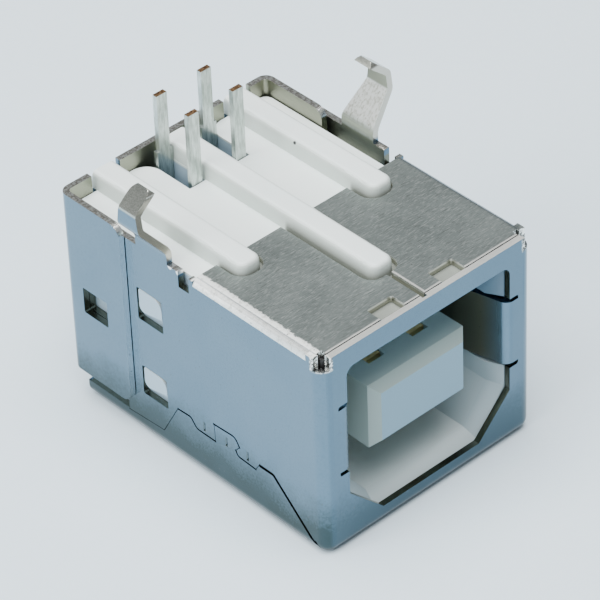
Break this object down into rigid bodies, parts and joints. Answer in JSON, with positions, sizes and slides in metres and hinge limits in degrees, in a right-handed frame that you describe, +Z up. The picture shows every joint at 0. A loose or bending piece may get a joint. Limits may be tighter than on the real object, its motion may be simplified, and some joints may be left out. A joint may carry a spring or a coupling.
{
  "type": "usb type-b socket",
  "caption": "Right-angle type-B socket for a circuit board: folded metal shield with two board locks, white moulded housing with a tongue, and through-hole contacts.",
  "frame": {"origin": "middle of the flat roof's plane under the socket, at the bottom centre of the whole part", "axes": "+Z up from the roof to the board side, where the contact tails and board locks stand; -Y out of the plug opening; +X to the right seen from the opening"},
  "size_m": [0.0144, 0.0156, 0.0141],
  "materials": {
    "tin_plate": "bright tin plate, finely brushed on the board side, satin on the bends and locks",
    "white_plastic": "cool off-white moulded plastic with a soft sheen",
    "contact_metal": "tinned copper-alloy tails with bare copper ends, gold-plated along the tongue"
  },
  "bodies": {
    "root": {"shield_shell": "tin_plate", "housing": "white_plastic", "contact_front_left": "contact_metal", "contact_front_right": "contact_metal", "contact_rear_left": "contact_metal", "contact_rear_right": "contact_metal"}
  },
  "joints": []
}
